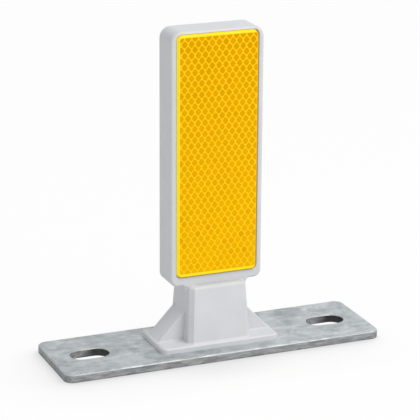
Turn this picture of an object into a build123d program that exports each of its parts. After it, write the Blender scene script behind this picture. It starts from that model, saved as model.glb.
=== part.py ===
"""Traffic delineator post: a two-sided reflector head plugged into a moulded foot on a galvanised plate.

Millimetres. The origin is the middle of the plate's underside, X runs along the plate, the front
reflector faces -Y and Z is up.
"""

from build123d import *
import math
import os

# Base plate: a length of flat bar with a slot at each end
PLATE_LENGTH = 210.0
PLATE_WIDTH = 60.0
PLATE_THICKNESS = 5.0
PLATE_CORNER_RADIUS = 6.0
PLATE_EDGE_CHAMFER = 0.6
SLOT_SPACING = 160.0
SLOT_LENGTH = 25.0
SLOT_WIDTH = 15.0
SLOT_EDGE_CHAMFER = 0.4

# Foot: flange, tapering socket and a hollow wedge on each side
FLANGE_LENGTH = 77.8
FLANGE_MARGIN = 2.25
FLANGE_THICKNESS = 3.6
FLANGE_CORNER_RADIUS = 3.5
FLANGE_EDGE_CHAMFER = 0.8
SOCKET_HEIGHT = 39.5
SOCKET_TOP_LENGTH = 37.4
SOCKET_TOP_WIDTH = 29.2
SOCKET_SIDE_DRAFT = 3.0
SOCKET_FACE_DRAFT = 4.7
SOCKET_CHAMFER = 2.6
SOCKET_WALL = 3.2
SOCKET_RIM_RADIUS = 2.0
COLLAR_HEIGHT = 10.0
ROOT_RADIUS = 0.9
WEDGE_RISE = 19.0
WEDGE_SET_IN = 0.5
WEDGE_FRONT = 7.2
WEDGE_BACK = 10.5
WEDGE_WALL = 2.6
WEDGE_EDGE_CHAMFER = 0.6
SEAT_REACH = 2.4
SEAT_LIP = 0.8

# Head: a rimmed panel with a pocket on each side of a web, and the tongue that plugs into the socket
HEAD_WIDTH = 60.7
HEAD_DEPTH = 20.5
HEAD_HEIGHT = 160.4
HEAD_TOP_RADIUS = 7.0
HEAD_BOTTOM_RADIUS = 5.0
HEAD_EDGE_RADIUS = 2.0
RIM_SIDE = 3.4
RIM_TOP = 1.6
RIM_BOTTOM = 5.8
POCKET_CORNER_RADIUS = 3.6
WEB_THICKNESS = 5.0
TONGUE_WIDTH = 29.0
TONGUE_CORNER_RADIUS = 1.5
TONGUE_RAIL = 4.0
TONGUE_RIB = 3.0
TONGUE_BLOCK = 16.0

# Reflector unit: tray-shaped lens, prism sheet, ribbed back plate and foam tape
LENS_PROUD = 1.6
LENS_EDGE_RADIUS = 1.6
LENS_FACE = 2.2
LENS_SKIRT = 1.8
SHEET_THICKNESS = 0.6
BACK_SKIN = 1.5
BACK_RIB = 2.0
BACK_BORDER = 5.0
BACK_CELLS_ACROSS = 2
BACK_CELLS_UP = 4
TAPE_THICKNESS = 1.0
TAPE_WIDTH = 4.5

# Fasteners: countersunk screws from under the plate and brass inserts in the mouldings
HEAD_SCREW_SPACING = 15.0
HEAD_SCREW_THREAD = 6.0
HEAD_SCREW_LENGTH = 16.0
HEAD_SCREW_HEAD = 12.0
HEAD_SCREW_KEY = 4.0
HEAD_INSERT_FLATS = 8.4
HEAD_INSERT_LENGTH = 12.0
FOOT_SCREW_THREAD = 5.0
FOOT_SCREW_LENGTH = 10.0
FOOT_SCREW_HEAD = 10.0
FOOT_SCREW_KEY = 3.0
FOOT_INSERT_FLATS = 7.0
FOOT_INSERT_LENGTH = 7.0
BOSS_WALL = 1.6
BOSS_SINK = 1.0
SCREW_SINK = 0.2
SCREW_KEY_DEPTH = 0.5

# Clearances, and the least corner radius of a drawn-in outline
TONGUE_GAP = 0.2
TONGUE_LIFT = 0.3
LENS_GAP = 0.3
SHEET_GAP = 0.2
SCREW_GAP = 0.25
THREAD_GAP = 0.05
INSERT_GAP = 0.05
INSERT_RELIEF = 0.6
LEAST_RADIUS = 0.5

# Levels and places that follow from the sizes above
PLATE_TOP = PLATE_THICKNESS
FLANGE_TOP = PLATE_TOP + FLANGE_THICKNESS
SOCKET_TOP = PLATE_TOP + SOCKET_HEIGHT
HEAD_BOTTOM = SOCKET_TOP
TONGUE_BOTTOM = PLATE_TOP + TONGUE_LIFT
POCKET_DEPTH = (HEAD_DEPTH - WEB_THICKNESS) / 2
POCKET_WIDTH = HEAD_WIDTH - 2 * RIM_SIDE
POCKET_HEIGHT = HEAD_HEIGHT - RIM_TOP - RIM_BOTTOM
POCKET_BOTTOM = HEAD_BOTTOM + RIM_BOTTOM
POCKET_MIDDLE = POCKET_BOTTOM + POCKET_HEIGHT / 2
LENS_FRONT = -HEAD_DEPTH / 2 - LENS_PROUD
LENS_BACK = -WEB_THICKNESS / 2 - TAPE_THICKNESS
SHEET_INSET = LENS_GAP + LENS_SKIRT + SHEET_GAP
SHEET_WIDTH = POCKET_WIDTH - 2 * SHEET_INSET
SHEET_HEIGHT = POCKET_HEIGHT - 2 * SHEET_INSET
SHEET_FRONT = LENS_FRONT + LENS_FACE
SHEET_BACK = SHEET_FRONT + SHEET_THICKNESS


def socket_half_length(level: float) -> float:
    """Half of the socket's outer length at a level, from its size at the top and its sides' draft."""
    return SOCKET_TOP_LENGTH / 2 + (SOCKET_TOP - level) * math.tan(math.radians(SOCKET_SIDE_DRAFT))


def socket_half_width(level: float) -> float:
    """Half of the socket's outer width at a level, from its size at the top and its faces' draft."""
    return SOCKET_TOP_WIDTH / 2 + (SOCKET_TOP - level) * math.tan(math.radians(SOCKET_FACE_DRAFT))


FLANGE_WIDTH = 2 * (socket_half_width(FLANGE_TOP) + FLANGE_MARGIN)
BOSS_SIZE = FOOT_INSERT_FLATS + 2 * BOSS_WALL
FOOT_SCREW_X = socket_half_length(PLATE_TOP) + BOSS_SIZE / 2 - BOSS_SINK
FOOT_SCREW_Y = (WEDGE_BACK - WEDGE_FRONT) / 2
ON_FLOOR = (Align.CENTER, Align.CENTER, Align.MIN)
HEAD_SCREW_PLACES = [(side * HEAD_SCREW_SPACING / 2, 0.0) for side in (-1, 1)]
FOOT_SCREW_PLACES = [(side * FOOT_SCREW_X, FOOT_SCREW_Y) for side in (-1, 1)]


def flat_block(length: float, width: float, corner: float, bottom: float, top: float) -> Part:
    """Upright block between two levels, with a rounded rectangle as its plan."""
    return Pos(0, 0, bottom) * extrude(RectangleRounded(length, width, corner), top - bottom)


def panel_block(inset: float, front: float, back: float) -> Part:
    """Panel between two Y planes, with the pocket's outline drawn in by an inset."""
    corner = max(POCKET_CORNER_RADIUS - inset, LEAST_RADIUS)
    outline = RectangleRounded(POCKET_WIDTH - 2 * inset, POCKET_HEIGHT - 2 * inset, corner)
    plane = Plane((0, back, POCKET_MIDDLE), x_dir=(1, 0, 0), z_dir=(0, -1, 0))
    return extrude(plane * outline, back - front)


def screw_shape(thread: float, head: float, length: float) -> Part:
    """Countersunk screw or its hole on the Z axis, head down, with a right angle across its cone."""
    outline = Polyline(
        (0, 0),
        (head / 2, 0),
        (thread / 2, (head - thread) / 2),
        (thread / 2, length),
        (0, length),
        close=True,
    )
    return revolve(Plane.XZ * make_face(outline), Axis.Z)


def hexagon_bar(flats: float, bottom: float, top: float) -> Part:
    """Hexagon bar on the Z axis between two levels, with its size across the flats."""
    return Pos(0, 0, bottom) * extrude(RegularPolygon(flats / 2, 6, major_radius=False), top - bottom)


def insert_hole(bottom: float, flats: float, length: float, screw_length: float) -> Part:
    """Blind hole on the Z axis for an insert, deep enough for the end of its screw."""
    top = max(bottom + length, SCREW_SINK + screw_length) + INSERT_RELIEF
    return hexagon_bar(flats + 2 * INSERT_GAP, bottom, top)


def base_plate() -> Part:
    """Galvanised flat bar with rounded corners, a slot at each end and countersunk holes from below."""
    plate = flat_block(PLATE_LENGTH, PLATE_WIDTH, PLATE_CORNER_RADIUS, 0, PLATE_TOP)
    plate = chamfer(plate.faces().sort_by(Axis.Z)[-1].edges(), PLATE_EDGE_CHAMFER)
    for side in (-1, 1):
        slot = SlotOverall(SLOT_LENGTH, SLOT_WIDTH)
        plate -= Pos(side * SLOT_SPACING / 2, 0, 0) * extrude(slot, PLATE_TOP)
    top = plate.faces().filter_by(Axis.Z).sort_by(Axis.Z)[-1]
    slot_rims = [edge for wire in top.inner_wires() for edge in wire.edges()]
    plate = chamfer(slot_rims, SLOT_EDGE_CHAMFER)
    for places, thread, head in (
        (HEAD_SCREW_PLACES, HEAD_SCREW_THREAD, HEAD_SCREW_HEAD),
        (FOOT_SCREW_PLACES, FOOT_SCREW_THREAD, FOOT_SCREW_HEAD),
    ):
        hole = screw_shape(thread + 2 * SCREW_GAP, head + 2 * SCREW_SINK, PLATE_TOP)
        for x, y in places:
            plate -= Pos(x, y, 0) * hole
    return plate


def taper_outline(half_bottom: float, half_top: float, bottom: float, top: float) -> Sketch:
    """Upright trapezoid between two levels, from its half widths there."""
    return make_face(
        Polyline((-half_bottom, bottom), (half_bottom, bottom), (half_top, top), (-half_top, top), close=True)
    )


def socket_block(bottom: float, top: float, inset: float) -> Part:
    """Tapering block between two levels where the socket's two tapers cross, drawn in by an inset."""
    half_lengths = [socket_half_length(level) - inset for level in (bottom, top)]
    half_widths = [socket_half_width(level) - inset for level in (bottom, top)]
    front = Plane.XZ * taper_outline(*half_lengths, bottom, top)
    side = Plane.YZ * taper_outline(*half_widths, bottom, top)
    return extrude(front, half_widths[0], both=True) & extrude(side, half_lengths[0], both=True)


def wedge_line() -> tuple[Vector, Vector]:
    """Foot and top of the right wedge's sloped face, as points in the XZ plane."""
    top_level = FLANGE_TOP + WEDGE_RISE
    foot = Vector(FLANGE_LENGTH / 2 - FLANGE_EDGE_CHAMFER - WEDGE_SET_IN, 0, FLANGE_TOP)
    top = Vector(socket_half_length(top_level), 0, top_level)
    return foot, top


def wedge(side: int) -> Part:
    """Solid wedge on one side of the socket, down to the plate."""
    foot, top = wedge_line()
    inner = SOCKET_TOP_LENGTH / 2 - SOCKET_WALL
    outline = Polyline(
        (side * inner, PLATE_TOP),
        (side * foot.X, PLATE_TOP),
        (side * foot.X, foot.Z),
        (side * top.X, top.Z),
        (side * inner, top.Z),
        close=True,
    )
    plane = Plane((0, WEDGE_BACK, 0), x_dir=(1, 0, 0), z_dir=(0, -1, 0))
    block = extrude(plane * make_face(outline), WEDGE_FRONT + WEDGE_BACK)
    slope = block.faces().sort_by(Axis.Z)[-2]
    return chamfer(slope.edges().filter_by(Axis.Y, reverse=True), WEDGE_EDGE_CHAMFER)


def wedge_hollow(side: int) -> Part:
    """Space under a wedge, open to the plate."""
    foot, top = wedge_line()
    run = foot.X - top.X
    rise = top.Z - foot.Z
    drop = WEDGE_WALL * math.hypot(run, rise) / run
    inner = socket_half_length(PLATE_TOP)
    outer = foot.X + (foot.Z - drop - PLATE_TOP) * run / rise
    peak = foot.Z - drop + (foot.X - inner) * rise / run
    outline = Polyline(
        (side * inner, PLATE_TOP),
        (side * outer, PLATE_TOP),
        (side * inner, peak),
        close=True,
    )
    plane = Plane((0, WEDGE_BACK - WEDGE_WALL, 0), x_dir=(1, 0, 0), z_dir=(0, -1, 0))
    return extrude(plane * make_face(outline), WEDGE_FRONT + WEDGE_BACK - 2 * WEDGE_WALL)


def seat_block() -> Part:
    """Block at the top of the socket, with a curved lip on each side under the head's shoulders."""
    wall = SOCKET_TOP_LENGTH / 2
    tip = wall + SEAT_REACH
    lip = SOCKET_TOP - SEAT_LIP
    bottom = lip - SEAT_REACH
    half = make_face(
        [
            Polyline((0, bottom), (0, SOCKET_TOP), (tip, SOCKET_TOP), (tip, lip)),
            RadiusArc((tip, lip), (wall, bottom), SEAT_REACH),
            Line((wall, bottom), (0, bottom)),
        ]
    )
    plane = Plane((0, HEAD_DEPTH / 2, 0), x_dir=(1, 0, 0), z_dir=(0, -1, 0))
    block = extrude(plane * (half + mirror(half, Plane.YZ)), HEAD_DEPTH)
    plan = chamfer(Rectangle(2 * tip, HEAD_DEPTH).vertices(), SEAT_REACH)
    return block & Pos(0, 0, bottom) * extrude(plan, SOCKET_TOP - bottom)


def foot_socket() -> Part:
    """Moulded foot: flange, tapering socket, hollow wedges with insert bosses, open underneath."""
    flange = flat_block(FLANGE_LENGTH, FLANGE_WIDTH, FLANGE_CORNER_RADIUS, PLATE_TOP, FLANGE_TOP)
    flange = chamfer(flange.faces().sort_by(Axis.Z)[-1].edges(), FLANGE_EDGE_CHAMFER)
    column = socket_block(PLATE_TOP, SOCKET_TOP, 0)
    column = chamfer(column.edges().filter_by(Plane.XY, reverse=True), SOCKET_CHAMFER)
    column = fillet(column.faces().sort_by(Axis.Z)[-1].edges(), SOCKET_RIM_RADIUS)
    foot = flange + column
    for side in (-1, 1):
        foot += wedge(side)
    flange_face = foot.faces().filter_by(Axis.Z).group_by(Axis.Z)[1][0]
    foot = fillet(flange_face.inner_wires()[0].edges(), ROOT_RADIUS)
    foot += seat_block()
    for side in (-1, 1):
        boss = Box(BOSS_SIZE, BOSS_SIZE, WEDGE_RISE + FLANGE_THICKNESS, align=ON_FLOOR)
        boss = Pos(side * FOOT_SCREW_X, FOOT_SCREW_Y, PLATE_TOP) * boss
        foot -= wedge_hollow(side) - boss
    ceiling = SOCKET_TOP - COLLAR_HEIGHT
    foot -= socket_block(PLATE_TOP, ceiling, SOCKET_WALL)
    foot -= flat_block(
        TONGUE_WIDTH + 2 * TONGUE_GAP,
        HEAD_DEPTH + 2 * TONGUE_GAP,
        TONGUE_CORNER_RADIUS + TONGUE_GAP,
        ceiling,
        SOCKET_TOP,
    )
    hole = insert_hole(PLATE_TOP, FOOT_INSERT_FLATS, FOOT_INSERT_LENGTH, FOOT_SCREW_LENGTH)
    for x, y in FOOT_SCREW_PLACES:
        foot -= Pos(x, y, 0) * hole
    return foot


def tongue() -> Part:
    """Ribbed tongue under the head, with a solid end block for the inserts."""
    root = HEAD_BOTTOM + HEAD_EDGE_RADIUS
    blade = flat_block(TONGUE_WIDTH, HEAD_DEPTH, TONGUE_CORNER_RADIUS, TONGUE_BOTTOM, root)
    low = TONGUE_BOTTOM + TONGUE_BLOCK
    high = HEAD_BOTTOM - TONGUE_RIB
    recess_height = (high - low - TONGUE_RIB) / 2
    recess = Box(TONGUE_WIDTH - 2 * TONGUE_RAIL, POCKET_DEPTH, recess_height)
    for side in (-1, 1):
        for level in (low + recess_height / 2, high - recess_height / 2):
            blade -= Pos(0, side * (WEB_THICKNESS + POCKET_DEPTH) / 2, level) * recess
    hole = insert_hole(TONGUE_BOTTOM, HEAD_INSERT_FLATS, HEAD_INSERT_LENGTH, HEAD_SCREW_LENGTH)
    for x, y in HEAD_SCREW_PLACES:
        blade -= Pos(x, y, 0) * hole
    return blade


def post_head() -> Part:
    """Moulded head: rounded panel with a reflector pocket on each side of its web, and the tongue below."""
    corners = Rectangle(HEAD_WIDTH, HEAD_HEIGHT).vertices().sort_by(Axis.Y)
    outline = fillet(corners[:2], HEAD_BOTTOM_RADIUS)
    outline = fillet(outline.vertices().sort_by(Axis.Y)[-2:], HEAD_TOP_RADIUS)
    middle = HEAD_BOTTOM + HEAD_HEIGHT / 2
    plane = Plane((0, HEAD_DEPTH / 2, middle), x_dir=(1, 0, 0), z_dir=(0, -1, 0))
    head = extrude(plane * outline, HEAD_DEPTH)
    faces = head.faces().sort_by(Axis.Y)
    head = fillet(faces[0].edges() + faces[-1].edges(), HEAD_EDGE_RADIUS)
    seat_length = SOCKET_TOP_LENGTH + 2 * SEAT_REACH
    shoulder = Box(seat_length, HEAD_DEPTH, HEAD_EDGE_RADIUS, align=ON_FLOOR)
    head += Pos(0, 0, HEAD_BOTTOM) * shoulder
    pocket = panel_block(0, -HEAD_DEPTH / 2, -WEB_THICKNESS / 2)
    head -= pocket
    head -= mirror(pocket, Plane.XZ)
    return head + tongue()


def lens() -> Part:
    """Front lens: a shallow tray with a rolled front edge."""
    tray = panel_block(LENS_GAP, LENS_FRONT, LENS_BACK)
    tray = fillet(tray.faces().sort_by(Axis.Y)[0].edges(), LENS_EDGE_RADIUS)
    return tray - panel_block(LENS_GAP + LENS_SKIRT, SHEET_FRONT, LENS_BACK)


def prism_sheet() -> Part:
    """Front sheet of prism cells, flat against the back of the lens's face."""
    return panel_block(SHEET_INSET, SHEET_FRONT, SHEET_BACK)


def back_plate() -> Part:
    """Front back plate: closes the lens, with a grid of ribs behind its skin."""
    plate = panel_block(SHEET_INSET, SHEET_BACK, LENS_BACK)
    width = SHEET_WIDTH - 2 * BACK_BORDER
    height = SHEET_HEIGHT - 2 * BACK_BORDER
    cell_width = (width - (BACK_CELLS_ACROSS - 1) * BACK_RIB) / BACK_CELLS_ACROSS
    cell_height = (height - (BACK_CELLS_UP - 1) * BACK_RIB) / BACK_CELLS_UP
    depth = LENS_BACK - SHEET_BACK - BACK_SKIN
    cell = Pos(0, LENS_BACK - depth / 2, POCKET_MIDDLE) * Box(cell_width, depth, cell_height)
    for column in range(BACK_CELLS_ACROSS):
        for row in range(BACK_CELLS_UP):
            x = (column - (BACK_CELLS_ACROSS - 1) / 2) * (cell_width + BACK_RIB)
            z = (row - (BACK_CELLS_UP - 1) / 2) * (cell_height + BACK_RIB)
            plate -= Pos(x, 0, z) * cell
    return plate


def mounting_tape() -> Part:
    """Front frame of foam tape between the back plate's border and the web."""
    frame = Box(SHEET_WIDTH, TAPE_THICKNESS, SHEET_HEIGHT)
    frame -= Box(SHEET_WIDTH - 2 * TAPE_WIDTH, TAPE_THICKNESS, SHEET_HEIGHT - 2 * TAPE_WIDTH)
    return Pos(0, LENS_BACK + TAPE_THICKNESS / 2, POCKET_MIDDLE) * frame


def screws(places: list, thread: float, head: float, length: float, key: float) -> Compound:
    """Countersunk screws with hexagon sockets, heads flush in the plate's underside."""
    blank = screw_shape(thread, head, length) - hexagon_bar(key, 0, key * SCREW_KEY_DEPTH)
    return Compound([Pos(x, y, SCREW_SINK) * blank for x, y in places])


def inserts(places: list, bottom: float, flats: float, length: float, thread: float) -> Compound:
    """Brass inserts: hexagon bushes that are moulded in, so that they can't turn."""
    body = hexagon_bar(flats, 0, length) - Cylinder(thread / 2 + THREAD_GAP, length, align=ON_FLOOR)
    return Compound([Pos(x, y, bottom) * body for x, y in places])


def main() -> None:
    """Build every piece and write it as a STEP file of its own."""
    pieces = {
        "base_plate": base_plate(),
        "foot_socket": foot_socket(),
        "post_head": post_head(),
        "head_screws": screws(
            HEAD_SCREW_PLACES, HEAD_SCREW_THREAD, HEAD_SCREW_HEAD, HEAD_SCREW_LENGTH, HEAD_SCREW_KEY
        ),
        "head_inserts": inserts(
            HEAD_SCREW_PLACES, TONGUE_BOTTOM, HEAD_INSERT_FLATS, HEAD_INSERT_LENGTH, HEAD_SCREW_THREAD
        ),
        "foot_screws": screws(
            FOOT_SCREW_PLACES, FOOT_SCREW_THREAD, FOOT_SCREW_HEAD, FOOT_SCREW_LENGTH, FOOT_SCREW_KEY
        ),
        "foot_inserts": inserts(
            FOOT_SCREW_PLACES, PLATE_TOP, FOOT_INSERT_FLATS, FOOT_INSERT_LENGTH, FOOT_SCREW_THREAD
        ),
    }
    reflector = {
        "lens": lens(),
        "prism_sheet": prism_sheet(),
        "back_plate": back_plate(),
        "mounting_tape": mounting_tape(),
    }
    for name, piece in reflector.items():
        pieces["front_" + name] = piece
        pieces["rear_" + name] = mirror(piece, Plane.XZ)
    os.makedirs("parts", exist_ok=True)
    for name, piece in pieces.items():
        export_step(piece, f"parts/{name}.step")


main()
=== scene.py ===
"""Traffic delineator post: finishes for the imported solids, and the diamond cells of the reflectors.

Metres, in the part's own frame: X along the plate, the front reflector faces -Y, Z up.
"""

import logging
import math
import random
from collections.abc import Sequence
from dataclasses import dataclass
from enum import Enum

import bpy
from mathutils import Matrix, Vector


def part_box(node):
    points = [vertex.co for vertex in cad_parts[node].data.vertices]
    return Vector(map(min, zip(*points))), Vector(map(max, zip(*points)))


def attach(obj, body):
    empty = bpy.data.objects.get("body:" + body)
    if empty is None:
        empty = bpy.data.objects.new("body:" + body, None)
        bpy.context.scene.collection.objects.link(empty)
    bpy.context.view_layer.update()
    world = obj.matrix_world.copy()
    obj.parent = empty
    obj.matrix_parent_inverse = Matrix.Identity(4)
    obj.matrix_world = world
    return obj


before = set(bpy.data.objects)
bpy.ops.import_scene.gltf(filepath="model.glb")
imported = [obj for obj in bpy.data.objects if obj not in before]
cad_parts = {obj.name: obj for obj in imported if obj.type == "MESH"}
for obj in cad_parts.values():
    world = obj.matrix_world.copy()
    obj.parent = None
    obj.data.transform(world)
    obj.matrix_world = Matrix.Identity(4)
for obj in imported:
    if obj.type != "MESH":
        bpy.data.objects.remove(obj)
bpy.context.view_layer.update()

LOG = logging.getLogger("delineator")
MM = 0.001

Colour = tuple[float, float, float]
Triple = tuple[float, float, float]
Span = tuple[float, float]
Socket = bpy.types.NodeSocket

WHOLE: Span = (0.0, 1.0)
# Nearly all of a noise's values lie in this span
NOISE_SPAN: Span = (0.3, 0.7)


class Side(Enum):
    """The way that a reflector faces, with its turn about the upright axis."""

    FRONT = 0.0
    REAR = math.pi

    @property
    def prefix(self) -> str:
        """The start of the names of this side's pieces."""
        return self.name.lower()


@dataclass(frozen=True)
class Layer:
    """One layer of cloudy noise.

    Attributes:
        grain: Size of one blotch, in metres.
        detail: Number of finer layers inside it.
        warp: How far the noise bends itself.
        stretch: Factor on X. Below 1, the blotches are longer that way.
        turn: Angle about Z, in radians.
        share: Its share where several layers are mixed.
    """

    grain: float
    detail: float = 2.0
    warp: float = 0.0
    stretch: float = 1.0
    turn: float = 0.0
    share: float = 1.0


class NodeSheet:
    """One material's node tree, with a short call for each kind of node that the finishes use."""

    def __init__(self, name: str) -> None:
        """Start an empty material.

        Args:
            name: The material's name.
        """
        self.material = bpy.data.materials.new(name)
        self.material.use_nodes = True
        self.nodes = self.material.node_tree.nodes
        self.links = self.material.node_tree.links
        self.nodes.clear()
        self.place = self.nodes.new("ShaderNodeTexCoord").outputs["Object"]

    def feed(self, socket: Socket, value: object) -> None:
        """Link a socket to another one, or set it to a plain value.

        Args:
            socket: The input to feed.
            value: A socket, a number, or a colour or vector.
        """
        if isinstance(value, bpy.types.NodeSocket):
            self.links.new(value, socket)
        elif socket.type == "RGBA":
            socket.default_value = (*value, 1.0)
        else:
            socket.default_value = value

    def noise(self, layer: Layer) -> Socket:
        """Cloudy noise.

        Args:
            layer: The size of the blotches and the way that they are drawn.

        Returns:
            The value socket, mostly inside NOISE_SPAN.
        """
        place = self.nodes.new("ShaderNodeMapping")
        self.feed(place.inputs["Vector"], self.place)
        place.inputs["Rotation"].default_value = (0.0, 0.0, layer.turn)
        place.inputs["Scale"].default_value = (layer.stretch, 1.0, 1.0)
        node = self.nodes.new("ShaderNodeTexNoise")
        self.feed(node.inputs["Vector"], place.outputs["Vector"])
        node.inputs["Scale"].default_value = 1.0 / layer.grain
        node.inputs["Detail"].default_value = layer.detail
        node.inputs["Distortion"].default_value = layer.warp
        return node.outputs["Fac"]

    def crystals(self, grain: float) -> Socket:
        """Flat patches of random tone, as zinc crystals have.

        Args:
            grain: Size of one patch, in metres.

        Returns:
            The value socket, between 0 and 1.
        """
        node = self.nodes.new("ShaderNodeTexVoronoi")
        self.feed(node.inputs["Vector"], self.place)
        node.inputs["Scale"].default_value = 1.0 / grain
        parts = self.nodes.new("ShaderNodeSeparateColor")
        self.feed(parts.inputs["Color"], node.outputs["Color"])
        return parts.outputs["Red"]

    def math(self, kind: str, first: object, second: object) -> Socket:
        """One sum of two values.

        Args:
            kind: The name of the sum, such as MULTIPLY.
            first: A socket or a number.
            second: A socket or a number.

        Returns:
            The value socket.
        """
        node = self.nodes.new("ShaderNodeMath")
        node.operation = kind
        self.feed(node.inputs[0], first)
        self.feed(node.inputs[1], second)
        return node.outputs[0]

    def total(self, parts: Sequence[tuple[Socket, float]]) -> Socket:
        """The sum of several values, each times its share.

        Args:
            parts: The values with their shares.

        Returns:
            The value socket.
        """
        scaled = [self.math("MULTIPLY", value, share) for value, share in parts]
        result = scaled[0]
        for value in scaled[1:]:
            result = self.math("ADD", result, value)
        return result

    def spread(self, value: Socket, source: Span, target: Span = WHOLE) -> Socket:
        """A value moved from one span to another, and held inside it.

        Args:
            value: The value to move.
            source: The values that give the target's two ends.
            target: The results there.

        Returns:
            The value socket.
        """
        node = self.nodes.new("ShaderNodeMapRange")
        self.feed(node.inputs["Value"], value)
        for name, bound in zip(("From Min", "From Max", "To Min", "To Max"), source + target):
            node.inputs[name].default_value = bound
        return node.outputs["Result"]

    def ramp(self, value: Socket, stops: Sequence[tuple[float, Colour]]) -> Socket:
        """Colours along a value.

        Args:
            value: The value to read.
            stops: Places and colours, in rising order.

        Returns:
            The colour socket.
        """
        node = self.nodes.new("ShaderNodeValToRGB")
        self.feed(node.inputs["Fac"], value)
        marks = node.color_ramp.elements
        while len(marks) < len(stops):
            marks.new(1.0)
        for mark, (place, colour) in zip(marks, stops):
            mark.position = place
            mark.color = (*colour, 1.0)
        return node.outputs["Color"]

    def blend(self, share: object, first: object, second: object, kind: str = "MIX") -> Socket:
        """Two colours mixed.

        Args:
            share: How much of the second colour, from 0 to 1.
            first: A colour or a colour socket.
            second: A colour or a colour socket.
            kind: The way that they mix.

        Returns:
            The colour socket.
        """
        node = self.nodes.new("ShaderNodeMix")
        node.data_type = "RGBA"
        node.blend_type = kind
        sockets = {socket.identifier: socket for socket in node.inputs}
        self.feed(sockets["Factor_Float"], share)
        self.feed(sockets["A_Color"], first)
        self.feed(sockets["B_Color"], second)
        return next(socket for socket in node.outputs if socket.identifier == "Result_Color")

    def bump(self, height: Socket, depth: float, strength: float) -> Socket:
        """Fine relief.

        Args:
            height: The relief, from 0 to 1.
            depth: How deep that is, in metres.
            strength: How much of it shows.

        Returns:
            The normal socket.
        """
        node = self.nodes.new("ShaderNodeBump")
        node.inputs["Strength"].default_value = strength
        node.inputs["Distance"].default_value = depth
        self.feed(node.inputs["Height"], height)
        return node.outputs["Normal"]

    def part(self, vector: Socket, axis: str) -> Socket:
        """One coordinate of a vector.

        Args:
            vector: The vector to take apart.
            axis: The axis: X, Y or Z.

        Returns:
            The value socket.
        """
        node = self.nodes.new("ShaderNodeSeparateXYZ")
        self.feed(node.inputs["Vector"], vector)
        return node.outputs[axis]

    def inside(self, half_x: float, half_y: float) -> Socket:
        """Tell a rectangle round the object's middle, seen from above, from what lies outside it.

        Args:
            half_x: Half of its length, in metres.
            half_y: Half of its width, in metres.

        Returns:
            The value socket: 1 inside and 0 outside.
        """
        insides = []
        for axis, half in (("X", half_x), ("Y", half_y)):
            away = self.math("ABSOLUTE", self.part(self.place, axis), 0.0)
            insides.append(self.math("LESS_THAN", away, half))
        return self.math("MULTIPLY", *insides)

    def facing(self, axis: str) -> Socket:
        """How far a face looks along an axis.

        Args:
            axis: The axis: X, Y or Z.

        Returns:
            The value socket: 1 for along it, 0 for across it and -1 for against it.
        """
        return self.part(self.nodes.new("ShaderNodeNewGeometry").outputs["Normal"], axis)

    def attribute(self, name: str) -> Socket:
        """A value that the mesh holds.

        Args:
            name: The attribute's name.

        Returns:
            The value socket.
        """
        node = self.nodes.new("ShaderNodeAttribute")
        node.attribute_name = name
        return node.outputs["Fac"]

    def close(self, sockets: dict[str, object]) -> bpy.types.Material:
        """Add the surface shader and end the tree.

        Args:
            sockets: The shader's inputs, by name.

        Returns:
            The finished material.
        """
        shader = self.nodes.new("ShaderNodeBsdfPrincipled")
        for name, value in sockets.items():
            self.feed(shader.inputs[name], value)
        output = self.nodes.new("ShaderNodeOutputMaterial")
        self.links.new(shader.outputs["BSDF"], output.inputs["Surface"])
        return self.material


@dataclass(frozen=True)
class MouldingFinish:
    """Satin moulded plastic with a fine grain and faint cloudiness."""

    name: str
    colour: Colour
    cloud: float = 0.03
    clouds: Layer = Layer(16 * MM, detail=4.0, warp=0.4)
    grain: Layer = Layer(0.45 * MM, detail=1.0)
    grain_depth: float = 0.05 * MM
    grain_strength: float = 0.25
    roughness: Span = (0.38, 0.52)
    specular: float = 0.3
    # Painted light: emission on a part that is no lamp
    glow: float = 0.0

    def material(self) -> bpy.types.Material:
        """Build the finish.

        Returns:
            The material.
        """
        sheet = NodeSheet(self.name)
        grain = sheet.noise(self.grain)
        dark = tuple(channel * (1.0 - self.cloud) for channel in self.colour)
        light = tuple(channel * (1.0 + self.cloud) for channel in self.colour)
        return sheet.close(
            {
                "Base Color": sheet.ramp(sheet.noise(self.clouds), list(zip(NOISE_SPAN, (dark, light)))),
                "Roughness": sheet.spread(grain, NOISE_SPAN, self.roughness),
                "Specular IOR Level": self.specular,
                "Emission Color": self.colour,
                "Emission Strength": self.glow,
                "Normal": sheet.bump(grain, self.grain_depth, self.grain_strength),
            }
        )


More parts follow.
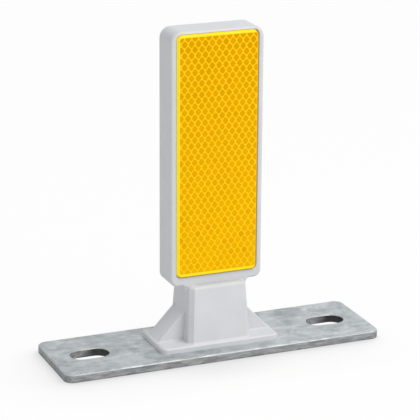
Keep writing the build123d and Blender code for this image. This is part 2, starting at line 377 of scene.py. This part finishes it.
@dataclass(frozen=True)
class GalvanisedFinish:
    """Hot-dip zinc: cloudy blotches, slanting runs and streaky cut sides, with painted light and shade: a
    painted falloff of light along the bar, sides darker partly as painted shade, painted shade towards the
    ends, along the bottom of the sides and on the slots' walls, and a worn edge tone that is partly a
    painted highlight.
    """

    name: str = "galvanised_steel"
    blotches: Layer = Layer(13 * MM, detail=5.0, warp=0.9, share=0.5)
    runs: Layer = Layer(5 * MM, detail=4.0, warp=0.5, stretch=0.3, turn=math.radians(24), share=0.35)
    grain: Layer = Layer(0.9 * MM, detail=3.0, share=0.15)
    patches: Layer = Layer(1.8 * MM, detail=4.0, warp=0.7, stretch=0.22)
    crystal_size: float = 3.2 * MM
    crystal_share: float = 0.06
    tones: tuple[Colour, ...] = ((0.295, 0.325, 0.335), (0.43, 0.465, 0.48), (0.58, 0.62, 0.635))
    tone_stops: Triple = (0.36, 0.5, 0.66)
    # Painted light: the top and the underside lighter towards +X as a falloff of light, and the span along
    # X where it changes
    painted_falloff: Span = (0.95, 1.1)
    painted_falloff_span: Span = (-100 * MM, 100 * MM)
    # The sides' streaky tones, darker than the top partly as painted shade on upright faces
    side_tones_and_shade: tuple[Colour, ...] = ((0.222, 0.227, 0.232), (0.395, 0.405, 0.412))
    side_stops: Span = (0.36, 0.62)
    # Painted contact shade: a darker band along the bottom of the sides, where they meet the floor, and its
    # tone
    contact_shade_band: Span = (0.2 * MM, 1.1 * MM)
    contact_shade_tone: float = 0.75
    # How far a face looks towards an end of the plate, and the painted shade that it has there
    end_from: Span = (0.35, 0.85)
    painted_end_shade: float = 0.82
    # Half of the length and width of the middle of the plate, which holds both slots but no outer side
    slot_zone: Span = (95 * MM, 8 * MM)
    slot_spacing: float = 160 * MM
    # The shade on a slot's wall, light on its left and deep on its right, and where along X it changes
    slot_shades: Span = (0.85, 0.1)
    slot_fade: Span = (-3 * MM, 5 * MM)
    # The broken edge's worn tone, partly a painted highlight
    rubbed_highlight: Colour = (0.40, 0.414, 0.42)
    # How far a face looks up, from 1 to -1: the top, the underside, and the broken edge, whose worn tone
    # partly paints its highlight
    top_from: Span = (0.2, 0.5)
    underside_from: Span = (-0.8, -0.95)
    rub_highlight_from: Span = (0.5, 0.62)
    rub_highlight_to: Span = (0.8, 0.95)
    rub_highlight_patches: Span = (0.38, 0.6)
    rub_highlight_share: Span = (0.05, 1.0)
    metallic: float = 0.35
    roughness: Span = (0.62, 0.42)
    roughness_tones: Span = (0.35, 0.65)
    relief: float = 0.25 * MM
    relief_strength: float = 0.18

    def material(self) -> bpy.types.Material:
        """Build the finish.

        Returns:
            The material.
        """
        sheet = NodeSheet(self.name)
        blotches = sheet.noise(self.blotches)
        grain = sheet.noise(self.grain)
        patches = sheet.noise(self.patches)
        tone = sheet.total(
            [
                (blotches, self.blotches.share),
                (sheet.noise(self.runs), self.runs.share),
                (sheet.crystals(self.crystal_size), self.crystal_share),
                (grain, self.grain.share),
            ]
        )
        up = sheet.facing("Z")
        flat = sheet.math("MAXIMUM", sheet.spread(up, self.top_from), sheet.spread(up, self.underside_from))
        colour = sheet.blend(flat, self.upright_colour_and_shade(sheet, patches), self.flat_colour(sheet, tone))
        # The broken edge takes the worn tone in patches, partly as a painted highlight, and not on the end
        # bevels, which lie in shade
        slope = sheet.math("SUBTRACT", sheet.spread(up, self.rub_highlight_from), sheet.spread(up, self.rub_highlight_to))
        highlight_rub = sheet.math("MULTIPLY", slope, sheet.spread(patches, self.rub_highlight_patches, self.rub_highlight_share))
        highlight_rub = sheet.math("MULTIPLY", highlight_rub, sheet.spread(self.endways(sheet), self.end_from, (1.0, 0.0)))
        return sheet.close(
            {
                "Base Color": sheet.blend(highlight_rub, colour, self.rubbed_highlight),
                "Metallic": self.metallic,
                "Roughness": sheet.spread(tone, self.roughness_tones, self.roughness),
                "Normal": sheet.bump(sheet.math("ADD", blotches, grain), self.relief, self.relief_strength),
            }
        )

    def flat_colour(self, sheet: NodeSheet, tone: Socket) -> Socket:
        """The top and the underside, which are a little lighter towards one end as a painted falloff of
        light.

        Args:
            sheet: The material's nodes.
            tone: The mixed clouds.

        Returns:
            The colour socket.
        """
        # Painted falloff of light along X
        painted_falloff = sheet.spread(sheet.part(sheet.place, "X"), self.painted_falloff_span, self.painted_falloff)
        return sheet.blend(1.0, sheet.ramp(tone, list(zip(self.tone_stops, self.tones))), painted_falloff, "MULTIPLY")

    def upright_colour_and_shade(self, sheet: NodeSheet, patches: Socket) -> Socket:
        """The cut sides, darker than the top partly as painted shade, with painted shade towards the
        plate's ends and along the bottom of the sides, and the slots' walls in shade.

        Args:
            sheet: The material's nodes.
            patches: The streaks.

        Returns:
            The colour socket.
        """
        # Upright faces take the darker side tones, partly painted shade
        side = sheet.ramp(patches, list(zip(self.side_stops, self.side_tones_and_shade)))
        # Painted contact shade along the bottom of the sides
        low = sheet.spread(sheet.part(sheet.place, "Z"), self.contact_shade_band, (self.contact_shade_tone, 1.0))
        side = sheet.blend(1.0, side, low, "MULTIPLY")
        # Painted shade on faces that look towards the plate's ends
        ends = sheet.spread(self.endways(sheet), self.end_from, (1.0, self.painted_end_shade))
        side = sheet.blend(1.0, side, ends, "MULTIPLY")
        along = sheet.math("ADD", sheet.part(sheet.place, "X"), self.slot_spacing)
        along = sheet.math("MODULO", along, self.slot_spacing)
        along = sheet.math("SUBTRACT", along, self.slot_spacing / 2)
        shade = sheet.spread(along, self.slot_fade, self.slot_shades)
        wall = sheet.blend(1.0, side, shade, "MULTIPLY")
        return sheet.blend(sheet.inside(*self.slot_zone), side, wall)

    @staticmethod
    def endways(sheet: NodeSheet) -> Socket:
        """How far a face looks towards one of the plate's ends.

        Args:
            sheet: The material's nodes.

        Returns:
            The value socket, from 0 to 1.
        """
        return sheet.math("ABSOLUTE", sheet.facing("X"), 0.0)


@dataclass(frozen=True)
class LensFinish:
    """Yellow plastic of the lens's rolled edge, with painted light and shade: pale where it faces left,
    deep where it faces right and down.
    """

    name: str = "yellow_lens"
    colour: Colour = (0.96, 0.70, 0.012)
    pale: Colour = (0.88, 0.83, 0.2)
    amber: Colour = (0.90, 0.48, 0.01)
    deep: Colour = (0.32, 0.22, 0.04)
    # How far a face looks along X, and where the tones lie in that span: painted light to the left, painted
    # shade to the right
    facing_span: Span = (-1.0, 1.0)
    facing_stops: tuple[float, ...] = (0.04, 0.15, 0.52, 0.56, 0.68)
    # How far a face looks down, and how much of the deep tone, a painted shade, it then has
    below_from: Span = (-0.35, -0.7)
    below_share: Span = (0.0, 0.8)
    # Painted light: emission that brightens the rolled edge
    glow: float = 0.2
    roughness: float = 0.3
    specular: float = 0.15

    def material(self) -> bpy.types.Material:
        """Build the finish.

        Returns:
            The material.
        """
        sheet = NodeSheet(self.name)
        # Painted light and shade by facing: pale to the left, deep to the right and below
        across = sheet.spread(sheet.facing("X"), self.facing_span)
        tones = (self.pale, self.colour, self.colour, self.amber, self.deep)
        colour = sheet.ramp(across, list(zip(self.facing_stops, tones)))
        below = sheet.spread(sheet.facing("Z"), self.below_from, self.below_share)
        colour = sheet.blend(below, colour, self.deep)
        return sheet.close(
            {
                "Base Color": colour,
                "Roughness": self.roughness,
                "Specular IOR Level": self.specular,
                "Emission Color": colour,
                "Emission Strength": self.glow,
            }
        )


@dataclass(frozen=True)
class CellFinish:
    """Amber prism cells: lighter towards the foot as painted light, with a tone for each cell and fine
    prisms inside it.
    """

    name: str = "amber_cells"
    # The cells' tones at the top and at the foot are painted light and shade, changing between the heights
    # given below
    upper: Colour = (0.745, 0.37, 0.0)
    lower: Colour = (0.895, 0.485, 0.001)
    orange: Colour = (0.83, 0.39, 0.001)
    orange_from: Span = (0.8, 1.0)
    fade: Span = (50 * MM, 200 * MM)
    tone_range: Span = (0.96, 1.05)
    prisms: Layer = Layer(0.32 * MM, detail=0.0)
    prism_depth: float = 0.05 * MM
    prism_strength: float = 0.2
    # Painted light: emission that brightens the cells
    glow: float = 0.05
    roughness: float = 0.4
    specular: float = 0.01

    def material(self) -> bpy.types.Material:
        """Build the finish.

        Returns:
            The material.
        """
        sheet = NodeSheet(self.name)
        tone = sheet.attribute(ReflectorFace.TONE)
        height = sheet.part(sheet.place, "Z")
        # Painted light: the cells lighter towards the foot
        amber = sheet.blend(sheet.spread(height, self.fade), self.lower, self.upper)
        amber = sheet.blend(1.0, amber, sheet.spread(tone, WHOLE, self.tone_range), "MULTIPLY")
        colour = sheet.blend(sheet.spread(tone, self.orange_from), amber, self.orange)
        return sheet.close(
            {
                "Base Color": colour,
                "Roughness": self.roughness,
                "Specular IOR Level": self.specular,
                "Emission Color": colour,
                "Emission Strength": self.glow,
                "Normal": sheet.bump(sheet.noise(self.prisms), self.prism_depth, self.prism_strength),
            }
        )


@dataclass(frozen=True)
class MetalFinish:
    """Turned or plated metal with fine marks."""

    name: str
    colour: Colour
    roughness: Span
    marks: Layer = Layer(0.4 * MM, detail=3.0)
    mark_stops: Span = (0.3, 0.65)
    mark_tone: float = 0.8
    mark_depth: float = 0.02 * MM
    mark_strength: float = 0.2

    def material(self) -> bpy.types.Material:
        """Build the finish.

        Returns:
            The material.
        """
        sheet = NodeSheet(self.name)
        marks = sheet.noise(self.marks)
        dull = tuple(channel * self.mark_tone for channel in self.colour)
        return sheet.close(
            {
                "Base Color": sheet.ramp(marks, list(zip(self.mark_stops, (dull, self.colour)))),
                "Metallic": 1.0,
                "Roughness": sheet.spread(marks, NOISE_SPAN, self.roughness),
                "Normal": sheet.bump(marks, self.mark_depth, self.mark_strength),
            }
        )


def dress(node: str, material: bpy.types.Material) -> None:
    """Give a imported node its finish.

    Args:
        node: The node's name.
        material: The finish.
    """
    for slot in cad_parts[node].material_slots:
        slot.material = material
    LOG.info("dressed %s in %s", node, material.name)


@dataclass
class BasePlate:
    """The slotted flat bar."""

    finish: GalvanisedFinish = GalvanisedFinish()

    def dress(self) -> None:
        """Give the bar its zinc."""
        dress("base_plate", self.finish.material())


@dataclass
class Post:
    """The two grey mouldings: the head, and the foot in a shade lighter as painted light."""

    head: MouldingFinish = MouldingFinish("grey_moulding", (0.70, 0.71, 0.735))
    # Painted light: the foot is a lighter copy of the head's grey
    foot: MouldingFinish = MouldingFinish("grey_foot_moulding_painted_light", (0.72, 0.73, 0.755))

    def dress(self) -> None:
        """Give each moulding its plastic."""
        dress("post_head", self.head.material())
        dress("foot_socket", self.foot.material())


@dataclass
class ReflectorFace:
    """The lattice of diamond cells on the flat face of one lens."""

    TONE = "tone"

    side: Side
    pitch_across: float = 4.45 * MM
    pitch_up: float = 7.0 * MM
    seam_width: float = 0.36 * MM
    tall_corner: float = 1.75 * MM
    side_corner: float = 0.35 * MM
    cell_wall: float = 0.1 * MM
    cell_sink: float = 0.1 * MM
    crown: float = 0.05 * MM
    proud: float = 0.16 * MM
    sheet_thickness: float = 0.3 * MM
    roll_radius: float = 1.6 * MM
    plain_foot: float = 1.1 * MM
    corner_radius: float = 1.6 * MM
    corner_cuts: int = 5
    bevel_segments: int = 2
    spare_cells: int = 2
    weld: float = 0.01 * MM
    sort_points: tuple[Triple, ...] = ((0.1731, 0.0917, 0.0413), (0.0629, 0.1873, 0.0771))
    seed: int = 11

    def __post_init__(self) -> None:
        """Find the lens's flat face."""
        self.low, self.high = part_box(f"{self.side.prefix}_lens")
        self.width = self.high.x - self.low.x - 2 * self.roll_radius
        self.height = self.high.z - self.low.z - 2 * self.roll_radius - self.plain_foot

    def build(self, seam: bpy.types.Material, cell: bpy.types.Material) -> bpy.types.Object:
        """Model the lattice as one thin sheet and set it on the lens.

        Args:
            seam: The finish of the raised lines.
            cell: The finish of the cells.

        Returns:
            The finished piece.
        """
        piece = self.diamond(seam, cell)
        self.repeat(piece)
        self.trim()
        self.close_back()
        self.fix_order()
        self.colour_cells(piece)
        self.set_on_lens(piece)
        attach(piece, "root")
        LOG.info("built %s with %d faces", piece.name, len(piece.data.polygons))
        return piece

    def diamond(self, seam: bpy.types.Material, cell: bpy.types.Material) -> bpy.types.Object:
        """Model one diamond flat on the ground: a raised seam round a sunk cell with a low crown.

        Args:
            seam: The finish of the raised lines.
            cell: The finish of the cells.

        Returns:
            The piece, left in edit mode.
        """
        bpy.ops.object.select_all(action="DESELECT")
        bpy.ops.mesh.primitive_circle_add(vertices=4, radius=1.0, fill_type="NGON")
        piece = bpy.context.active_object
        piece.name = f"{self.side.prefix}_cells"
        piece.data.materials.append(seam)
        piece.data.materials.append(cell)
        bpy.ops.object.mode_set(mode="EDIT")
        bpy.ops.mesh.select_mode(type="FACE")
        bpy.ops.mesh.select_all(action="SELECT")
        bpy.ops.transform.resize(value=(self.pitch_across / 2, self.pitch_up / 2, 1.0))
        bpy.ops.mesh.inset(thickness=self.seam_width / 2)
        for axis, corner in ((0, self.tall_corner), (1, self.side_corner)):
            self.pick_middle(piece, on_axis=axis)
            bpy.ops.mesh.bevel(offset=corner, segments=self.bevel_segments, affect="VERTICES")
        self.pick_middle(piece)
        bpy.ops.mesh.inset(thickness=self.cell_wall, depth=-self.cell_sink)
        piece.active_material_index = 1
        bpy.ops.object.material_slot_assign()
        bpy.ops.mesh.poke(offset=self.crown)
        return piece

    @staticmethod
    def pick_middle(piece: bpy.types.Object, on_axis: int | None = None) -> None:
        """Select only the face nearest to the piece's middle, or two of its corners.

        Args:
            piece: The piece in edit mode.
            on_axis: The coordinate that is zero at the two corners to select, or None for the face.
        """
        bpy.ops.mesh.select_mode(type="FACE" if on_axis is None else "VERT")
        bpy.ops.mesh.select_all(action="DESELECT")
        bpy.ops.object.mode_set(mode="OBJECT")
        middle = min(piece.data.polygons, key=lambda face: face.center.length)
        if on_axis is None:
            middle.select = True
        else:
            corners = [piece.data.vertices[index] for index in middle.vertices]
            for corner in sorted(corners, key=lambda vertex: abs(vertex.co[on_axis]))[:2]:
                corner.select = True
        bpy.ops.object.mode_set(mode="EDIT")

    def repeat(self, piece: bpy.types.Object) -> None:
        """Copy the diamond into both phases of the lattice and across the face, past its edges.

        Args:
            piece: The piece in edit mode.
        """
        half_step = (self.pitch_across / 2, self.pitch_up / 2, 0.0)
        bpy.ops.mesh.select_all(action="SELECT")
        bpy.ops.mesh.duplicate_move(TRANSFORM_OT_translate={"value": half_step})
        bpy.ops.object.mode_set(mode="OBJECT")
        counts = []
        steps = ((self.pitch_across, self.width), (self.pitch_up, self.height))
        for axis, (pitch, size) in enumerate(steps):
            row = piece.modifiers.new("row", "ARRAY")
            row.count = math.ceil(size / pitch) + self.spare_cells
            row.use_relative_offset = False
            row.use_constant_offset = True
            row.constant_offset_displace = [pitch if i == axis else 0.0 for i in range(3)]
            row.use_merge_vertices = True
            row.merge_threshold = self.weld
            counts.append(row.count)
            bpy.ops.object.modifier_apply(modifier=row.name)
        bpy.ops.object.mode_set(mode="EDIT")
        bpy.ops.mesh.select_all(action="SELECT")
        back = (-(counts[0] // 2) * self.pitch_across, -(counts[1] // 2) * self.pitch_up, 0.0)
        bpy.ops.transform.translate(value=back)
        bpy.ops.mesh.remove_doubles(threshold=self.weld)

    def trim(self) -> None:
        """Cut the lattice to the flat face: four straight sides and four rounded corners."""
        half = Vector((self.width / 2, self.height / 2, 0.0))
        corner = half - Vector((self.corner_radius, self.corner_radius, 0.0))
        turns = 4 * (self.corner_cuts + 1)
        for step in range(turns):
            angle = math.tau * step / turns
            outward = Vector((math.cos(angle), math.sin(angle), 0.0))
            centre = Vector((math.copysign(corner.x, outward.x), math.copysign(corner.y, outward.y), 0.0))
            bpy.ops.mesh.select_all(action="SELECT")
            edge = centre + outward * self.corner_radius
            bpy.ops.mesh.bisect(plane_co=edge, plane_no=outward, clear_outer=True)

    def close_back(self) -> None:
        """Give the sheet its thickness and a flat back."""
        bpy.ops.mesh.select_mode(type="EDGE")
        bpy.ops.mesh.select_all(action="DESELECT")
        bpy.ops.mesh.select_non_manifold()
        bpy.ops.mesh.extrude_edges_move(TRANSFORM_OT_translate={"value": (0.0, 0.0, -self.sheet_thickness)})
        bpy.ops.transform.resize(value=(1.0, 1.0, 0.0))
        bpy.ops.mesh.edge_face_add()
        bpy.ops.mesh.select_all(action="SELECT")
        bpy.ops.mesh.normals_make_consistent(inside=False)

    def fix_order(self) -> None:
        """Sort the sheet by its distances from two odd points, since cutting orders it anew each run."""
        cursor = bpy.context.scene.cursor
        before = cursor.location.copy()
        bpy.ops.mesh.select_all(action="SELECT")
        for point in self.sort_points:
            cursor.location = point
            bpy.ops.mesh.sort_elements(type="CURSOR_DISTANCE", elements={"VERT", "EDGE", "FACE"})
        cursor.location = before
        bpy.ops.object.mode_set(mode="OBJECT")

    def colour_cells(self, piece: bpy.types.Object) -> None:
        """Give each cell its own tone.

        Args:
            piece: The lattice, still flat on the ground.
        """
        keys = []
        for face in piece.data.polygons:
            across = face.center.x / self.pitch_across
            up = face.center.y / self.pitch_up
            keys.append((math.floor(across + up + 0.5), math.floor(across - up + 0.5)))
        draw = random.Random(self.seed)
        tones = {key: draw.random() for key in sorted(set(keys))}
        layer = piece.data.attributes.new(self.TONE, "FLOAT", "FACE")
        layer.data.foreach_set("value", [tones[key] for key in keys])

    def set_on_lens(self, piece: bpy.types.Object) -> None:
        """Stand the sheet up on the lens's face, facing its own way.

        Args:
            piece: The lattice, still flat on the ground.
        """
        face_y = self.low.y - self.proud if self.side is Side.FRONT else self.high.y + self.proud
        piece.rotation_euler = (math.pi / 2, 0.0, self.side.value)
        piece.location = (0.0, face_y, (self.low.z + self.high.z + self.plain_foot) / 2)
        bpy.ops.object.select_all(action="DESELECT")
        piece.select_set(True)
        bpy.context.view_layer.objects.active = piece
        bpy.ops.object.transform_apply(location=True, rotation=True, scale=True)


@dataclass
class Reflector:
    """One reflector unit: the lens with its cells, and what is sealed behind it."""

    side: Side

    def dress(self, finishes: dict[str, bpy.types.Material]) -> None:
        """Dress the unit's solids and build its cells.

        Args:
            finishes: The unit's materials, by the last part of the node's name, with seam and cell.
        """
        for part in ("lens", "prism_sheet", "back_plate", "mounting_tape"):
            dress(f"{self.side.prefix}_{part}", finishes[part])
        ReflectorFace(self.side).build(finishes["seam"], finishes["cell"])


@dataclass
class Fasteners:
    """The countersunk screws and the brass inserts."""

    screw: MetalFinish = MetalFinish("screw_steel", (0.62, 0.62, 0.60), (0.24, 0.36))
    insert: MetalFinish = MetalFinish("insert_brass", (0.72, 0.50, 0.20), (0.28, 0.42))

    def dress(self) -> None:
        """Give the screws their zinc and leave the inserts as turned."""
        for part, finish in (("screws", self.screw), ("inserts", self.insert)):
            material = finish.material()
            for place in ("head", "foot"):
                dress(f"{place}_{part}", material)


@dataclass
class Studio:
    """Pale floor, soft light and the camera."""

    floor_size: float = 8.0
    floor_level: float = -0.05 * MM
    floor_colour: Colour = (0.9, 0.9, 0.9)
    floor_white: float = 0.95
    shadow_reach: float = 45 * MM
    shadow_lean: Triple = (1.0, 0.9, 1.0)
    shadow_full: float = 0.25
    shadow_tone: float = 0.62
    # Half of the length and width of the floor under the plate, where it shows through the slots
    under_plate: Span = (100 * MM, 20 * MM)
    sky: float = 0.55
    key_power: float = 13.5
    key_place: Triple = (0.55, -0.85, 1.35)
    key_size: float = 1.1
    azimuth: float = math.radians(-22.54)
    elevation: float = math.radians(17.75)
    roll: float = math.radians(-0.38)
    distance: float = 1.2796
    aim: Triple = (-0.0003, 0.0001, 0.0886)
    lens: float = 177.6
    sensor: float = 36.0

    def build(self) -> None:
        """Set up the whole studio."""
        bpy.context.scene.view_settings.view_transform = "Standard"
        self.add_floor()
        self.add_sky()
        self.add_key()
        self.add_camera()

    @staticmethod
    def seen_directly(nodes: bpy.types.Nodes, links: bpy.types.NodeLinks) -> Socket:
        """Tell what the camera, a mirror or glass sees from what only lights the object.

        Args:
            nodes: The tree's nodes.
            links: The tree's links.

        Returns:
            A value socket: 1 where the ray is a camera, glossy or transmission ray.
        """
        path = nodes.new("ShaderNodeLightPath")
        seen = path.outputs["Is Camera Ray"]
        for kind in ("Is Glossy Ray", "Is Transmission Ray"):
            most = nodes.new("ShaderNodeMath")
            most.operation = "MAXIMUM"
            links.new(seen, most.inputs[0])
            links.new(path.outputs[kind], most.inputs[1])
            seen = most.outputs[0]
        return seen

    def add_floor(self) -> None:
        """Lay a white floor that keeps the object's shadow."""
        bpy.ops.object.select_all(action="DESELECT")
        bpy.ops.mesh.primitive_plane_add(size=self.floor_size, location=(0.0, 0.0, self.floor_level))
        floor = bpy.context.active_object
        floor.name = "floor"
        sheet = NodeSheet("floor_white")
        paint = sheet.nodes.new("ShaderNodeBsdfDiffuse")
        sheet.feed(paint.inputs["Color"], self.floor_colour)
        white = sheet.nodes.new("ShaderNodeEmission")
        sheet.feed(white.inputs["Color"], self.contact_shadow(sheet))
        mix = sheet.nodes.new("ShaderNodeMixShader")
        seen = self.seen_directly(sheet.nodes, sheet.links)
        sheet.feed(mix.inputs["Fac"], sheet.math("MULTIPLY", seen, self.floor_white))
        sheet.feed(mix.inputs[1], paint.outputs["BSDF"])
        sheet.feed(mix.inputs[2], white.outputs["Emission"])
        sheet.feed(sheet.nodes.new("ShaderNodeOutputMaterial").inputs["Surface"], mix.outputs["Shader"])
        floor.data.materials.append(sheet.material)

    def contact_shadow(self, sheet: NodeSheet) -> Socket:
        """White that darkens softly beside the plate, but not where the floor shows through its slots.

        Args:
            sheet: The floor's nodes.

        Returns:
            The colour socket.
        """
        openness = sheet.nodes.new("ShaderNodeAmbientOcclusion")
        openness.inputs["Distance"].default_value = self.shadow_reach
        lean = sheet.nodes.new("ShaderNodeCombineXYZ")
        for axis, part in zip("XYZ", Vector(self.shadow_lean).normalized()):
            lean.inputs[axis].default_value = part
        sheet.feed(openness.inputs["Normal"], lean.outputs["Vector"])
        shade = sheet.spread(openness.outputs["AO"], (self.shadow_full, 1.0), (self.shadow_tone, 1.0))
        return sheet.math("MAXIMUM", shade, sheet.inside(*self.under_plate))

    def add_sky(self) -> None:
        """Surround the scene with plain white light, at full white where it is seen."""
        world = bpy.data.worlds.new("sky")
        bpy.context.scene.world = world
        world.use_nodes = True
        nodes = world.node_tree.nodes
        links = world.node_tree.links
        nodes.clear()
        light = nodes.new("ShaderNodeBackground")
        light.inputs["Strength"].default_value = self.sky
        seen = nodes.new("ShaderNodeBackground")
        for background in (light, seen):
            background.inputs["Color"].default_value = (1.0, 1.0, 1.0, 1.0)
        mix = nodes.new("ShaderNodeMixShader")
        links.new(self.seen_directly(nodes, links), mix.inputs["Fac"])
        links.new(light.outputs["Background"], mix.inputs[1])
        links.new(seen.outputs["Background"], mix.inputs[2])
        links.new(mix.outputs["Shader"], nodes.new("ShaderNodeOutputWorld").inputs["Surface"])

    def add_key(self) -> None:
        """Hang the soft key light in front, to the right and above."""
        data = bpy.data.lights.new("key", "AREA")
        data.energy = self.key_power
        data.shape = "DISK"
        data.size = self.key_size
        key = bpy.data.objects.new("key", data)
        key.location = self.key_place
        aim = Vector(self.aim) - Vector(self.key_place)
        key.rotation_euler = aim.to_track_quat("-Z", "Y").to_euler()
        bpy.context.scene.collection.objects.link(key)

    def add_camera(self) -> None:
        """Put the camera at the photograph's angle."""
        back = Vector(
            (
                math.sin(self.azimuth) * math.cos(self.elevation),
                -math.cos(self.azimuth) * math.cos(self.elevation),
                math.sin(self.elevation),
            )
        )
        right = Vector((math.cos(self.azimuth), math.sin(self.azimuth), 0.0))
        up = back.cross(right)
        turned = (
            right * math.cos(self.roll) - up * math.sin(self.roll),
            right * math.sin(self.roll) + up * math.cos(self.roll),
            back,
        )
        data = bpy.data.cameras.new("camera")
        data.lens = self.lens
        data.sensor_width = self.sensor
        camera = bpy.data.objects.new("camera", data)
        place = Matrix.Translation(Vector(self.aim) + back * self.distance)
        camera.matrix_world = place @ Matrix(turned).transposed().to_4x4()
        bpy.context.scene.collection.objects.link(camera)
        bpy.context.scene.camera = camera


def reflector_finishes() -> dict[str, bpy.types.Material]:
    """Build the materials that both reflectors share.

    Returns:
        The materials, by the last part of the node's name, with seam and cell.
    """
    finishes = {
        "lens": LensFinish(),
        # The seams' emission is painted light that brightens them
        "seam": MouldingFinish("seam_lines", (0.99, 0.58, 0.009), specular=0.01, glow=0.105),
        "cell": CellFinish(),
        "prism_sheet": MouldingFinish("prism_sheet", (0.85, 0.50, 0.02), roughness=(0.2, 0.3)),
        "back_plate": MouldingFinish("back_plate", (0.70, 0.70, 0.67)),
        "mounting_tape": MouldingFinish(
            "foam_tape", (0.04, 0.04, 0.04), grain_depth=0.2 * MM, roughness=(0.8, 0.52)
        ),
    }
    return {part: finish.material() for part, finish in finishes.items()}


def main() -> None:
    """Build the studio and dress the post, piece by piece."""
    logging.basicConfig(level=logging.INFO, format="%(message)s")
    Studio().build()
    BasePlate().dress()
    Post().dress()
    finishes = reflector_finishes()
    for side in Side:
        Reflector(side).dress(finishes)
    Fasteners().dress()


if __name__ == "__main__":
    main()
